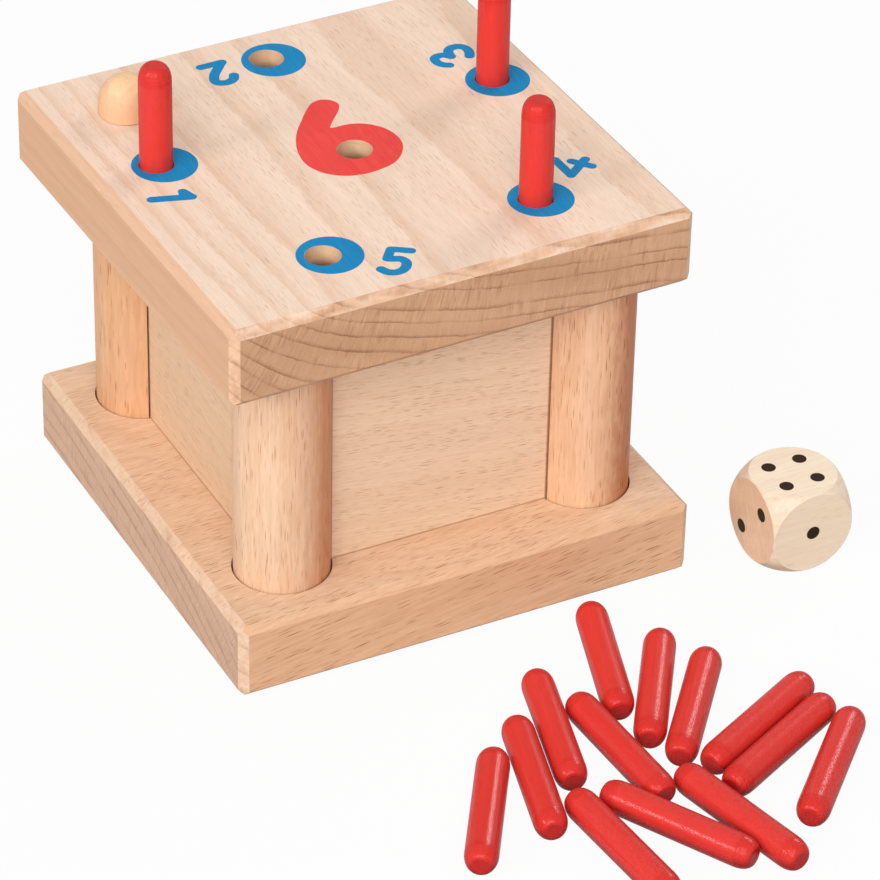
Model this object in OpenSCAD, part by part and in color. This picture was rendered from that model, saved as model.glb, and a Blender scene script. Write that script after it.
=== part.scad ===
// Wooden dice game: a box with a swivelling lid, round pegs and a die.
// Sizes are in millimetres. The origin is the centre of the base's underside.
// +X runs along the front edge to the right, +Y runs to the back, +Z is up.

/* [Boards] */
// Side of the square base and of the square lid
board_side = 120; // [114:1:140]
// Thickness of the base
base_t = 20.5; // [16:0.5:26]
// Thickness of the lid
lid_t = 20.5; // [16:0.5:26]
// Width of the flat bevel on every edge of both boards
bevel = 2; // [1:0.2:3.6]

/* [Posts] */
// Diameter of a corner post
post_d = 23.2; // [20:0.2:25]
// Distance of a post's centre from the base's two nearest edges
post_inset = 19.8; // [18:0.2:24]
// Height of the posts above the base
post_rise = 61.5; // [50:0.1:80]
// Depth of a post's socket in the base
socket_depth = 12; // [6:0.5:14]
// Gap round a post in its socket
socket_gap = 0.4; // [0.1:0.1:0.8]

/* [Panels] */
// Thickness of a side panel
panel_t = 6; // [4:0.5:8]
// How far a panel's outer face stands outside the line of post centres
panel_out = 3.1; // [1:0.1:4]
// Wood left in a post between the grooves of its two panels
groove_web = 3.1; // [2:0.1:4]
// Gap round a panel in its grooves
groove_gap = 0.3; // [0.1:0.05:0.4]
// Gap between a panel and the lid
panel_head_gap = 0.5; // [0.2:0.1:1.5]

/* [Lid] */
// How far the lid is turned about its pivot, in degrees
lid_turn = 1; // [-3:0.5:3]
// Gap between the posts and the lid that slides over them
lid_gap = 0.1; // [0.05:0.05:0.3]
// By how much the radius of the ring of holes falls short of half the lid's side
hole_inset = 12.8; // [12:0.2:18]
// How far the ring of holes lies to the right of the lid's centre
ring_right = 0.8; // [-2:0.1:2]
// How far the ring of holes lies in front of the lid's centre
ring_ahead = 1.1; // [-2:0.1:2]
// Depth of the five blind holes
hole_depth = 13.2; // [8:0.2:14]

/* [Pivot peg] */
// Distance of the pivot from the lid's left edge
pivot_from_left = 19.9; // [18:0.1:23]
// Distance of the pivot from the lid's back edge
pivot_from_back = 21.5; // [19:0.1:23]
// How far the pivot lies to the left of its post's centre
pivot_left_of_post = 2.9; // [0:0.1:4]
// How far the pivot lies in front of its post's centre
pivot_ahead_of_post = 0.3; // [0:0.1:3]
// Diameter of the pivot peg's shank
shank_d = 6; // [4:0.5:8]
// Length of the shank that is glued into the post
shank_depth = 25; // [15:1:40]
// Gap round the shank in its post, filled with glue
glue_gap = 0.05; // [0.02:0.01:0.1]
// Running gap round the shank in the lid
pivot_gap = 0.1; // [0.05:0.01:0.1]
// Diameter of the pivot peg's head
head_d = 13.7; // [11:0.1:16]
// Height of the straight foot under the round of the head
head_foot = 2.8; // [1:0.1:5]
// Gap between the lid and the head
head_gap = 0.2; // [0.1:0.05:0.4]

/* [Pegs] */
// Diameter of a peg
peg_d = 8; // [7:0.1:10]
// Length of a peg
peg_l = 40; // [30:1:50]
// Length of the dome at each end of a peg
peg_dome = 4.2; // [1:0.1:6]
// Diameter of the flat at a peg's tip
peg_tip_d = 4; // [1:0.1:5]
// Gap round a peg in its hole
peg_gap = 0.3; // [0.2:0.05:0.5]

/* [Die] */
// Side of the die
die_side = 22; // [16:0.5:26]
// How far the rounding brings each corner of the die in
die_corner_cut = 3.6; // [3.5:0.1:6]
// Gap between the right side of the box and the die
die_beside = 16.5; // [5:0.1:60]
// How far the die's centre lies in front of the base's front edge
die_ahead = 1.5; // [-20:0.5:40]

/* [Hidden] */
$fn = 96;
// How far a cut runs past the face it opens
over = 1;
// Clearance between faces that rest on each other
seat = 0.05;

RING_COUNT = 5;
// Ring holes that hold a peg, by the number printed beside them
PEGGED_HOLES = [1, 3, 4];
// Angle of hole 1 about the ring's centre, and the step to the next hole
FIRST_HOLE_ANGLE = 162;
HOLE_STEP = -360 / RING_COUNT;

// Loose pegs on the table, in peg diameters: distance to the right of the box's
// middle and in front of its front edge; and the heading in degrees
LOOSE_PEGS = [
    [2.75, 3.4, -108],
    [3.45, 5.2, -123],
    [4.05, 6.45, -129],
    [5.35, 7.95, -154],
    [5.4, 9.1, -154],
    [6.25, 10.6, -135],
    [-0.15, 5.65, -105],
    [-1.7, 7.35, -105],
    [-3.6, 8.1, -122],
    [1.15, 7.25, -87],
    [2.75, 11.45, -77],
    [1, 11, -61],
    [-0.9, 11.15, -85],
];
// Ratio of a usual peg's length to its diameter
PEG_RATIO = 5;
// The heap's spacing follows the thickness of the pegs and their length alike
loose_pitch = (peg_d + peg_l / PEG_RATIO) / 2;

// Posts
post_c = board_side / 2 - post_inset;
post_foot_z = base_t - socket_depth;
post_top_z = base_t + post_rise;

// Panels
panel_in = panel_t - panel_out;
panel_h = post_rise - panel_head_gap;
groove_floor = panel_in + groove_web;
panel_l = 2 * (post_c - groove_floor - groove_gap);

// Lid and pivot
lid_z = post_top_z + lid_gap;
lid_top_z = lid_z + lid_t;
ring_r = board_side / 2 - hole_inset;
pivot_x = -post_c - pivot_left_of_post;
pivot_y = post_c - pivot_ahead_of_post;
pivot_in_lid_x = pivot_from_left - board_side / 2;
pivot_in_lid_y = board_side / 2 - pivot_from_back;
head_z = lid_top_z + head_gap;

// Pegs and their holes
hole_r = peg_d / 2 + peg_gap;

// Die
die_ball_r = die_side * sqrt(3) / 2 - die_corner_cut;

// Angle about the ring's centre of the hole with this number
function hole_angle(hole) = FIRST_HOLE_ANGLE + (hole - 1) * HOLE_STEP;

// Outline of a peg's end: a quarter of an ellipse from the tip's flat to the side
function dome_points(steps) = [
    for (i = [0:steps])
        let (a = 90 * i / steps)
        [
            peg_tip_d / 2 + (peg_d - peg_tip_d) / 2 * sin(a),
            peg_dome * (1 - cos(a)),
        ]
];

// Rectangle about the origin with its four corners bevelled
module bevelled_rectangle(w, h) {
    x = w / 2;
    y = h / 2;
    polygon([
        [x - bevel, -y], [x, -y + bevel], [x, y - bevel], [x - bevel, y],
        [-x + bevel, y], [-x, y - bevel], [-x, -y + bevel], [-x + bevel, -y],
    ]);
}

// Square board on the XY plane with all twelve edges bevelled
module board(thickness) {
    translate([0, 0, thickness / 2])
        intersection() {
            linear_extrude(thickness, center = true)
                bevelled_rectangle(board_side, board_side);
            rotate([90, 0, 0])
                linear_extrude(board_side, center = true)
                    bevelled_rectangle(board_side, thickness);
            rotate([90, 0, 90])
                linear_extrude(board_side, center = true)
                    bevelled_rectangle(board_side, thickness);
        }
}

// Puts the lid's own frame, centred on its underside, where the lid lies
module on_lid() {
    translate([pivot_x, pivot_y, lid_z])
        rotate([0, 0, lid_turn])
            translate([-pivot_in_lid_x, -pivot_in_lid_y, 0])
                children();
}

// Moves its children from the lid's centre to the centre of the ring of holes
module at_ring() {
    translate([ring_right, -ring_ahead, 0])
        children();
}

// Moves its children from the lid's centre to the hole with this number
module at_hole(hole) {
    at_ring()
        rotate([0, 0, hole_angle(hole)])
            translate([ring_r, 0, 0])
                children();
}

// Groove for one panel, cut into the +X side of a post that stands at the origin
module groove() {
    translate([groove_floor, -panel_out - groove_gap, -groove_gap])
        cube([post_d, panel_t + 2 * groove_gap, post_rise + groove_gap + over]);
}

// Corner post; side_x and side_y are -1 or 1 and name its corner.
// The grooves face the neighbouring posts.
module post(side_x, side_y) {
    mirror([side_x > 0 ? 1 : 0, 0, 0])
        mirror([0, side_y > 0 ? 1 : 0, 0])
            translate([-post_c, -post_c, base_t])
                difference() {
                    translate([0, 0, seat - socket_depth])
                        cylinder(d = post_d, h = socket_depth - seat + post_rise);
                    groove();
                    mirror([1, -1, 0])
                        groove();
                }
}

// Panel along the front edge, standing on the base between two posts
module panel() {
    translate([-panel_l / 2, -post_c - panel_out, base_t])
        cube([panel_l, panel_t, panel_h]);
}

// Peg along +Z with its lower tip at the origin
module peg() {
    dome = dome_points(6);
    rotate_extrude()
        polygon(concat(
            [[0, 0]],
            dome,
            [for (i = [len(dome) - 1:-1:0]) [dome[i].x, peg_l - dome[i].y]],
            [[0, peg_l]]
        ));
}

module base() {
    color("burlywood")
        difference() {
            board(base_t);
            for (x = [-post_c, post_c], y = [-post_c, post_c])
                translate([x, y, post_foot_z])
                    cylinder(r = post_d / 2 + socket_gap, h = socket_depth + over);
        }
}

module lid() {
    color("bisque")
        on_lid()
            difference() {
                board(lid_t);
                for (hole = [1:RING_COUNT])
                    at_hole(hole)
                        translate([0, 0, lid_t - hole_depth])
                            cylinder(r = hole_r, h = hole_depth + over);
                at_ring()
                    translate([0, 0, -over])
                        cylinder(r = hole_r, h = lid_t + 2 * over);
                translate([pivot_in_lid_x, pivot_in_lid_y, -over])
                    cylinder(r = shank_d / 2 + pivot_gap, h = lid_t + 2 * over);
            }
}

module pivot_peg() {
    shank_z = post_top_z - shank_depth;
    color("navajowhite")
        translate([pivot_x, pivot_y, 0]) {
            translate([0, 0, shank_z + seat])
                cylinder(d = shank_d, h = head_z - shank_z);
            translate([0, 0, head_z])
                rotate_extrude()
                    intersection() {
                        union() {
                            square([head_d / 2, head_foot]);
                            translate([0, head_foot])
                                circle(d = head_d);
                        }
                        square([head_d / 2, head_foot + head_d / 2]);
                    }
        }
}

module front_left_post() {
    color("peru") post(-1, -1);
}

module front_right_post() {
    color("peru") post(1, -1);
}

module back_left_post() {
    color("peru")
        difference() {
            post(-1, 1);
            translate([pivot_x, pivot_y, post_top_z - shank_depth])
                cylinder(r = shank_d / 2 + glue_gap, h = shank_depth + over);
        }
}

module back_right_post() {
    color("peru") post(1, 1);
}

module front_panel() {
    color("wheat") panel();
}

module back_panel() {
    color("wheat") rotate([0, 0, 180]) panel();
}

module left_panel() {
    color("wheat") rotate([0, 0, -90]) panel();
}

module right_panel() {
    color("wheat") rotate([0, 0, 90]) panel();
}

module lid_peg(hole) {
    color("red")
        on_lid()
            at_hole(hole)
                translate([0, 0, lid_t - hole_depth + seat])
                    peg();
}

module loose_peg(i) {
    place = LOOSE_PEGS[i - 1];
    color("red")
        translate([place.x * loose_pitch, -board_side / 2 - place.y * loose_pitch, peg_d / 2])
            rotate([0, 0, place.z])
                rotate([0, 90, 0])
                    translate([0, 0, -peg_l / 2])
                        peg();
}

module die() {
    color("antiquewhite")
        translate([
            board_side / 2 + die_beside + die_side / 2,
            -board_side / 2 - die_ahead,
            die_side / 2,
        ])
            intersection() {
                cube(die_side, center = true);
                sphere(r = die_ball_r);
            }
}

base();
lid();
pivot_peg();
front_left_post();
front_right_post();
back_left_post();
back_right_post();
front_panel();
back_panel();
left_panel();
right_panel();
for (hole = PEGGED_HOLES)
    lid_peg(hole);
for (i = [1:len(LOOSE_PEGS)])
    loose_peg(i);
die();
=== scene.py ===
"""Looks of a wooden dice game: a square peg box with a swivelling lid, red pegs and a die.

Lengths in this file are millimetres, unless a name says otherwise. Blender and the frame use
metres. +X runs along the front edge, +Y to the back and +Z up.
The lid's own axes start at the middle of its underside and turn with it.
"""

import logging
import math
from collections.abc import Callable
from dataclasses import dataclass, field
from enum import Enum

import bpy
from mathutils import Matrix, Vector
from mathutils.geometry import delaunay_2d_cdt

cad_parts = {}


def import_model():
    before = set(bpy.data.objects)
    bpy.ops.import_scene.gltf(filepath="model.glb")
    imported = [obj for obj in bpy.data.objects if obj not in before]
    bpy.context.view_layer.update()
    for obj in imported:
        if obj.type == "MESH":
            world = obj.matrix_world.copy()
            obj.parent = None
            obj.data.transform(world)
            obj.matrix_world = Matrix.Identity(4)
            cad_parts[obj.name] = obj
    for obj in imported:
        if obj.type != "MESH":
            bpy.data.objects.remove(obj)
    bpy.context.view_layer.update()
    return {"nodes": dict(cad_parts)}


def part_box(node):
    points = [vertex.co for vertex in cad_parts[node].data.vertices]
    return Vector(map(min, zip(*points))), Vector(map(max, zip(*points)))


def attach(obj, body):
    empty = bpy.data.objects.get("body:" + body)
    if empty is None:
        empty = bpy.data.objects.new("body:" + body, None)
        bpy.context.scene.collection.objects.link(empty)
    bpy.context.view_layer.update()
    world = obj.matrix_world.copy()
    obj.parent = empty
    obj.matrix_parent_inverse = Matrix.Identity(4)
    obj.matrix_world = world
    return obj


LOG = logging.getLogger("dice_game")
MM = 0.001
Point = tuple[float, float]
Triple = tuple[float, float, float]
Span = tuple[float, float]
Colour = tuple[float, float, float, float]
RIGHTWARD: Triple = (1.0, 0.0, 0.0)
BACKWARD: Triple = (0.0, 1.0, 0.0)
UPWARD: Triple = (0.0, 0.0, 1.0)


# Shader maths

class Wire:
    """A node's output socket, on which Python's operators add Math nodes."""

    def __init__(self, graph: "Graph", socket: bpy.types.NodeSocket) -> None:
        """Wraps a socket.

        Args:
            graph: The node tree that the socket belongs to.
            socket: The output socket.
        """
        self.graph = graph
        self.socket = socket

    def math(self, operation: str, *others: "Wire | float") -> "Wire":
        """Adds one Math node.

        Args:
            operation: The node's operation.
            others: The values or wires after this one.

        Returns:
            The result.
        """
        return self.graph.math(operation, self, *others)

    def __add__(self, other: "Wire | float") -> "Wire":
        """Gives the sum."""
        return self.math("ADD", other)

    __radd__ = __add__

    def __mul__(self, other: "Wire | float") -> "Wire":
        """Gives the product."""
        return self.math("MULTIPLY", other)

    __rmul__ = __mul__

    def __sub__(self, other: "Wire | float") -> "Wire":
        """Gives the difference."""
        return self.math("SUBTRACT", other)

    def __rsub__(self, other: float) -> "Wire":
        """Gives a number less this value."""
        return self.graph.math("SUBTRACT", other, self)

    def __truediv__(self, other: "Wire | float") -> "Wire":
        """Gives the quotient."""
        return self.math("DIVIDE", other)

    def __rtruediv__(self, other: float) -> "Wire":
        """Gives a number divided by this value."""
        return self.graph.math("DIVIDE", other, self)

    def __pow__(self, other: "Wire | float") -> "Wire":
        """Gives the power."""
        return self.math("POWER", other)

    def __abs__(self) -> "Wire":
        """Gives the value without its sign."""
        return self.math("ABSOLUTE")

    def rise(self, low: float, high: float) -> "Wire":
        """Rises smoothly from 0 to 1, or falls where high is below low.

        Args:
            low: Where the result is 0.
            high: Where the result is 1.

        Returns:
            A value from 0 to 1.
        """
        first, last = min(low, high), max(low, high)
        step = self.graph.node(
            "ShaderNodeMapRange",
            {"interpolation_type": "SMOOTHSTEP"},
            {"Value": self, "From Min": first, "From Max": last},
        )
        return step if high > low else 1 - step


class Graph:
    """The node tree of one material."""

    def __init__(self, tree: bpy.types.NodeTree) -> None:
        """Empties the tree.

        Args:
            tree: The node tree to build in.
        """
        self.tree = tree
        tree.nodes.clear()

    def node(
        self,
        kind: str,
        settings: dict[str, object] | None = None,
        inputs: dict[str, object] | None = None,
        output: str = "",
    ) -> Wire:
        """Adds a node of any type.

        Args:
            kind: The node's type.
            settings: Properties set before the sockets.
            inputs: Values or wires by the socket's name or identifier.
            output: The output socket's name or identifier, or nothing for the first.

        Returns:
            The chosen output, or for a node without outputs its first input.
        """
        made = self.tree.nodes.new(kind)
        for name, value in (settings or {}).items():
            setattr(made, name, value)
        for name, value in (inputs or {}).items():
            self._plug(self._find(made.inputs, name), value)
        if not made.outputs:
            return Wire(self, made.inputs[0])
        return Wire(self, self._find(made.outputs, output) if output else made.outputs[0])

    @staticmethod
    def _find(sockets: object, name: str) -> bpy.types.NodeSocket:
        """Finds a socket.

        Args:
            sockets: A node's inputs or outputs.
            name: The socket's identifier or name; an index works as text.

        Returns:
            The socket.
        """
        if name.isdigit():
            return sockets[int(name)]
        for socket in sockets:
            if socket.identifier == name:
                return socket
        return sockets[name]

    def _plug(self, socket: bpy.types.NodeSocket, value: object) -> None:
        """Links a wire to a socket, or sets a value on it.

        Args:
            socket: The input socket.
            value: A wire, number, colour or vector.
        """
        if isinstance(value, Wire):
            self.tree.links.new(value.socket, socket)
        else:
            socket.default_value = value

    def math(self, operation: str, *values: "Wire | float") -> Wire:
        """Adds a Math node.

        Args:
            operation: The node's operation.
            values: The values or wires that it works on.

        Returns:
            The result.
        """
        sockets = {str(place): value for place, value in enumerate(values)}
        return self.node("ShaderNodeMath", {"operation": operation}, sockets)

    def dot(self, vector: Wire, direction: Triple) -> Wire:
        """Gives the distance along a direction.

        Args:
            vector: The vector's wire.
            direction: A fixed direction.

        Returns:
            The dot product.
        """
        inputs = {"0": vector, "1": direction}
        return self.node("ShaderNodeVectorMath", {"operation": "DOT_PRODUCT"}, inputs, "Value")

    def place(self, origin: Triple) -> Wire:
        """Gives the place on the object at rest, in millimetres from an origin.

        Args:
            origin: The origin, in millimetres.

        Returns:
            A vector.
        """
        rest = self.node("ShaderNodeTexCoord", output="Object")
        scale, subtract = {"operation": "SCALE"}, {"operation": "SUBTRACT"}
        big = self.node("ShaderNodeVectorMath", scale, {"0": rest, "Scale": 1 / MM})
        return self.node("ShaderNodeVectorMath", subtract, {"0": big, "1": origin})

    def vector(self, x: "Wire | float", y: "Wire | float", z: "Wire | float") -> Wire:
        """Joins three values into a vector.

        Args:
            x: The first value.
            y: The second value.
            z: The third value.

        Returns:
            The vector.
        """
        return self.node("ShaderNodeCombineXYZ", None, {"X": x, "Y": y, "Z": z})

    def noise(self, where: Wire, detail: float = 2.0, roughness: float = 0.5) -> Wire:
        """Adds soft noise that is about 0.5 in the middle.

        Args:
            where: The place, with one unit for one lump.
            detail: How many finer layers are added.
            roughness: How strong the finer layers are.

        Returns:
            A value from 0 to 1.
        """
        inputs = {"Vector": where, "Scale": 1.0, "Detail": detail, "Roughness": roughness}
        return self.node("ShaderNodeTexNoise", {"noise_dimensions": "3D"}, inputs)

    def lumps(
        self, axes: tuple[Wire, ...], sizes: Triple, detail: float = 2.0, roughness: float = 0.5
    ) -> Wire:
        """Adds soft noise with lumps of a given size.

        Args:
            axes: Three measures of the place, in millimetres.
            sizes: The lumps' size along each of them.
            detail: How many finer layers are added.
            roughness: How strong the finer layers are.

        Returns:
            A value from 0 to 1.
        """
        where = self.vector(*(axis / size for axis, size in zip(axes, sizes)))
        return self.noise(where, detail, roughness)

    def mix(self, first: object, second: object, share: "Wire | float", blend: str = "MIX") -> Wire:
        """Mixes two colours.

        Args:
            first: A colour or its wire.
            second: A colour or its wire.
            share: How much of the second is taken, from 0 to 1.
            blend: The way of mixing.

        Returns:
            The mixed colour.
        """
        settings = {"data_type": "RGBA", "blend_type": blend, "clamp_factor": True}
        inputs = {"Factor_Float": share, "A_Color": first, "B_Color": second}
        return self.node("ShaderNodeMix", settings, inputs, "Result_Color")

    def surface(self, inputs: dict[str, object], height: Wire, depth: float) -> None:
        """Ends the tree in a Principled shader with a bump.

        Args:
            inputs: The shader's sockets.
            height: The relief, from 0 to 1.
            depth: The relief's depth in millimetres.
        """
        relief = {"Height": height, "Distance": depth * MM, "Strength": 1.0}
        bump = self.node("ShaderNodeBump", None, relief)
        shader = self.node("ShaderNodeBsdfPrincipled", None, {**inputs, "Normal": bump})
        self.node("ShaderNodeOutputMaterial", None, {"Surface": shader})


@dataclass(frozen=True)
class Tint:
    """A colour in display values from 0 to 255."""

    red: float
    green: float
    blue: float

    def rgba(self) -> Colour:
        """Gives the linear colour that Blender's sockets take.

        Returns:
            Red, green, blue and alpha.
        """

        def linear(value: float) -> float:
            """Turns one display value into linear light."""
            part = value / 255
            return part / 12.92 if part <= 0.04045 else ((part + 0.055) / 1.055) ** 2.4

        return (linear(self.red), linear(self.green), linear(self.blue), 1.0)


WHITE = Tint(255, 255, 255)


# Wood

@dataclass(frozen=True)
class Cut:
    """How a piece was cut from its log, in the piece's own axes.

    Attributes:
        origin: The place that the grain is measured from.
        along: The direction of the fibres.
        across: The direction across the board.
        through: The direction through the board.
        ring: Millimetres from ring to ring, negative where the bark side is below.
        fall: How steeply the rings rise or fall across the board.
        bow: How far the rings curve away at the origin.
        reach: How far across the board that curve fades.
        wander: The height of the rings' slow waves.
    """

    origin: Triple
    along: Triple
    across: Triple
    through: Triple
    ring: float = 4.3
    fall: float = 0.13
    bow: float = 0.0
    reach: float = 25.0
    wander: float = 1.6


@dataclass(frozen=True)
class Grain:
    """The measures of one piece of wood that its layers share.

    Attributes:
        along: Millimetres along the fibres.
        across: Millimetres across the board.
        through: Millimetres through the board.
        side: Millimetres along the growth rings.
        depth: Millimetres from ring to ring.
        turn: The same, counted in rings.
        ripple: The rings' small waves, from -0.5 to 0.5.
        jitter: The rings' fine unevenness, from -0.5 to 0.5.
        line: The dark end of each ring, from 0 to 1.
        year: Slow changes from ring to ring, from 0 to 1.
        normal: The way that the surface faces.
        facing: 1 on end grain, 0 on long grain.
        beside: 1 on the flanks, 0 on the faces.
    """

    along: Wire
    across: Wire
    through: Wire
    side: Wire
    depth: Wire
    turn: Wire
    ripple: Wire
    jitter: Wire
    line: Wire
    year: Wire
    normal: Wire
    facing: Wire
    beside: Wire


@dataclass(frozen=True)
class Bores:
    """The walls of a board's upright holes: paler, with painted shade further down.

    Attributes:
        fresh: The walls' colour.
        cover: How much of the wood's colour it hides.
        reach: The distances from the box's middle inside which a wall starts to count, and
            counts in full.
        upright: The upward part of its facing where a wall starts to count, and counts in
            full.
        dim: The heights where the painted shade starts, and where it is full.
        dark: What the colour is multiplied by there, as painted shade.
    """

    fresh: Tint
    cover: float = 0.72
    reach: Span = (56.0, 54.0)
    upright: Span = (0.6, 0.3)
    dim: Span = (99.6, 96.6)
    dark: Colour = (0.32, 0.22, 0.17, 1.0)

    def line(self, g: Graph, colour: Wire, normal: Wire) -> Wire:
        """Colours the holes' walls, with painted shade further down.

        Args:
            g: The material's nodes.
            colour: The wood's colour.
            normal: The way that the surface faces.

        Returns:
            The colour with the walls.
        """
        here = g.place((0.0, 0.0, 0.0))
        x, y, z = (g.dot(here, way) for way in (RIGHTWARD, BACKWARD, UPWARD))
        wall = abs(x).rise(*self.reach) * abs(y).rise(*self.reach)
        wall = wall * abs(g.dot(normal, UPWARD)).rise(*self.upright)
        colour = g.mix(colour, self.fresh.rgba(), wall * self.cover)
        # Painted shade deeper in the holes.
        return g.mix(colour, self.dark, wall * z.rise(*self.dim), "MULTIPLY")


@dataclass(frozen=True)
class Seams:
    """The thin dark lines of a panel: painted shade where its ends meet the posts, and a darker
    foot by the base.

    Attributes:
        along: The direction of the panel's width.
        ends: The distances from the panel's middle where a seam starts, and is full.
        foot: The heights where the foot's seam starts, and is full.
        foot_share: The foot's seam as a share of the ends'.
        dark: What the colour is multiplied by in a seam.
    """

    along: Triple
    ends: Span = (28.4, 28.85)
    foot: Span = (21.1, 20.7)
    foot_share: float = 0.7
    dark: Colour = (0.46, 0.31, 0.2, 1.0)

    def line(self, g: Graph, colour: Wire) -> Wire:
        """Darkens the seams: painted shade at the ends, and a darker foot.

        Args:
            g: The material's nodes.
            colour: The wood's colour.

        Returns:
            The colour with the seams.
        """
        here = g.place((0.0, 0.0, 0.0))
        # Painted shade in the gaps where the panel's ends meet the posts; the foot is darkened too.
        ends = abs(g.dot(here, self.along)).rise(*self.ends)
        foot = g.dot(here, UPWARD).rise(*self.foot)
        return g.mix(colour, self.dark, ends.math("MAXIMUM", foot * self.foot_share), "MULTIPLY")


@dataclass(frozen=True)
class Timber:
    """Sanded wood: growth rings, rays and flecks, with darker end grain and painted shade.

    Attributes:
        name: The finish's name.
        cut: How the piece was cut from its log.
        pale: The long grain between its bands.
        deep: The long grain's bands.
        fleck: The flecks.
        end_pale: The end grain between its ring lines.
        end_line: The end grain's ring lines.
        bevel: The bevels between long grain and end grain.
        flank: What the flanks are multiplied by: partly their own tone, partly painted shade.
        flank_flecks: The share of the flecks that the flanks have.
        heart: What the side that faces heart_side is multiplied by, as painted shade.
        heart_side: The way that the side with painted shade faces.
        underside: What the faces that look down are multiplied by, as painted shade.
        bevel_turn: The turns towards end grain where the bevel starts, and is full.
        end_turn: The turns towards end grain where it starts, and is full.
        band: How strong the long grain's bands are.
        lines: How strong the ring lines are on long grain.
        figure: How strong the flame figure is.
        rings: How strong the ring lines are on end grain.
        blur: How wide those lines are, from 0 to 1.
        flecks: How strong the flecks are.
        fleck_length: The room of one fleck along the fibres.
        fleck_width: Its room along the rings.
        fleck_depth: Its room from ring to ring.
        fibres: How strong the fine fibres are.
        roughness: The middle of the roughness.
        specular: The shader's specular level.
        relief_depth: The depth of the grain's relief.
        bored: The walls of its holes, with painted shade further down, where it has holes.
        seams: The dark lines at its seams, painted shade in the gaps, where it has them.
        ink: The ink that covers it, where it is printed.
        ink_cover: How much of the wood the ink hides.
    """

    name: str
    cut: Cut
    pale: Tint
    deep: Tint
    fleck: Tint
    end_pale: Tint
    end_line: Tint
    bevel: Tint
    flank: Tint = WHITE
    flank_flecks: float = 1.0
    heart: Tint = WHITE
    heart_side: Triple = (0.9, -0.3, 0.0)
    underside: Colour = (0.55, 0.42, 0.33, 1.0)
    bevel_turn: Span = (0.35, 0.85)
    end_turn: Span = (0.8, 0.95)
    band: float = 1.0
    lines: float = 0.3
    figure: float = 0.0
    rings: float = 1.0
    blur: float = 0.0
    flecks: float = 0.8
    fleck_length: float = 6.0
    fleck_width: float = 0.8
    fleck_depth: float = 9.0
    fibres: float = 1.0
    roughness: float = 0.52
    specular: float = 0.3
    relief_depth: float = 0.06
    bored: Bores | None = None
    seams: Seams | None = None
    ink: Tint | None = None
    ink_cover: float = 0.9

    def build(self) -> bpy.types.Material:
        """Builds the material.

        Returns:
            The material.
        """
        material = bpy.data.materials.new(self.name)
        material.use_nodes = True
        g = Graph(material.node_tree)
        grain = self._grain(g)
        fibre = g.lumps((grain.along, grain.side, grain.depth), (12, 0.8, 1.1), 3.0, 0.65)
        dash = self._flecks(g, grain)
        rays = g.lumps((grain.side, grain.depth, grain.along), (0.7, 8, 40), 2.0, 0.7)
        ring_line = self._ring_line(g, grain)
        long_grain = self._long_grain(g, grain, fibre, dash)
        end_grain = self._end_grain(g, grain, rays, ring_line)
        bevel = self._bevel(g, grain, rays, ring_line)
        colour = self._join_faces(g, grain, long_grain, bevel, end_grain)
        if self.bored:
            colour = self.bored.line(g, colour, grain.normal)
        if self.seams:
            colour = self.seams.line(g, colour)
        if self.ink:
            colour = self._print_over(g, colour, fibre, dash)
        end_relief = rays * 0.5 - ring_line * 0.4
        relief = fibre * 0.5 - dash * 0.3 + grain.facing.rise(*self.end_turn) * end_relief
        rough = self.roughness + (fibre - 0.5) * 0.16
        shader = {"Base Color": colour, "Roughness": rough, "Specular IOR Level": self.specular}
        g.surface(shader, relief, self.relief_depth)
        return material

    def _grain(self, g: Graph) -> Grain:
        """Runs the growth rings through the whole piece.

        Args:
            g: The material's nodes.

        Returns:
            The piece's grain.
        """
        cut = self.cut
        here = g.place(cut.origin)
        ways = cut.along, cut.across, cut.through
        board = tuple(g.dot(here, way) for way in ways)
        along, across, through = board
        drift = g.lumps(board, (70, 24, 24), 1.5) - 0.5
        ripple = g.lumps(board, (30, 3.2, 3.2), 1.0) - 0.5
        jitter = g.lumps(board, (4.5, 1.2, 1.2), 2.0) - 0.5
        bend = g.math("EXPONENT", across / -cut.reach)
        depth = through + across * cut.fall + bend * cut.bow + drift * (2 * cut.wander)
        depth = depth + ripple * 0.6 + jitter * 0.55
        side = across + (bend * (cut.bow / cut.reach) - cut.fall) * through
        turn = depth / cut.ring
        spread = g.noise(g.vector(turn * 0.7, along / 300, 3.1), 0.0) - 0.5
        saw = (turn + spread * 0.9).math("FRACT")
        line = saw.rise(0.5, 0.95) * saw.rise(1.0, 0.975)
        year = g.noise(g.vector(turn * 0.55, side / 60, along / 150), 1.0)
        normal = g.node("ShaderNodeTexCoord", output="Normal")
        facing = abs(g.dot(normal, cut.along))
        beside = abs(g.dot(normal, cut.across)).rise(0.3, 0.9)
        return Grain(*board, side, depth, turn, ripple, jitter, line, year, normal, facing, beside)

    def _flecks(self, g: Graph, grain: Grain) -> Wire:
        """Strews short dark flecks along the fibres, some places closer than others.

        Args:
            g: The material's nodes.
            grain: The piece's grain.

        Returns:
            1 in a fleck, 0 between them.
        """
        layers = grain.along, grain.side, grain.depth
        sway = g.lumps(layers, (9, 2.5, 4), 1.0) - 0.5
        spots = g.vector(
            grain.along / self.fleck_length,
            grain.side / self.fleck_width + sway * 0.5,
            grain.depth / self.fleck_depth,
        )
        cells = {"Vector": spots, "Scale": 1.0, "Randomness": 1.0}
        near = g.node("ShaderNodeTexVoronoi", {"feature": "F1"}, cells, "Distance")
        luck = g.node("ShaderNodeTexVoronoi", {"feature": "F1"}, cells, "Color")
        size = g.dot(luck, (0.5, 0.5, 0.0))
        crowd = g.lumps(layers, (24, 5, 8), 1.0).rise(0.3, 0.6)
        return (near / (0.13 + size * 0.32)).rise(0.95, 0.4) * (0.3 + crowd * 0.7)

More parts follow.
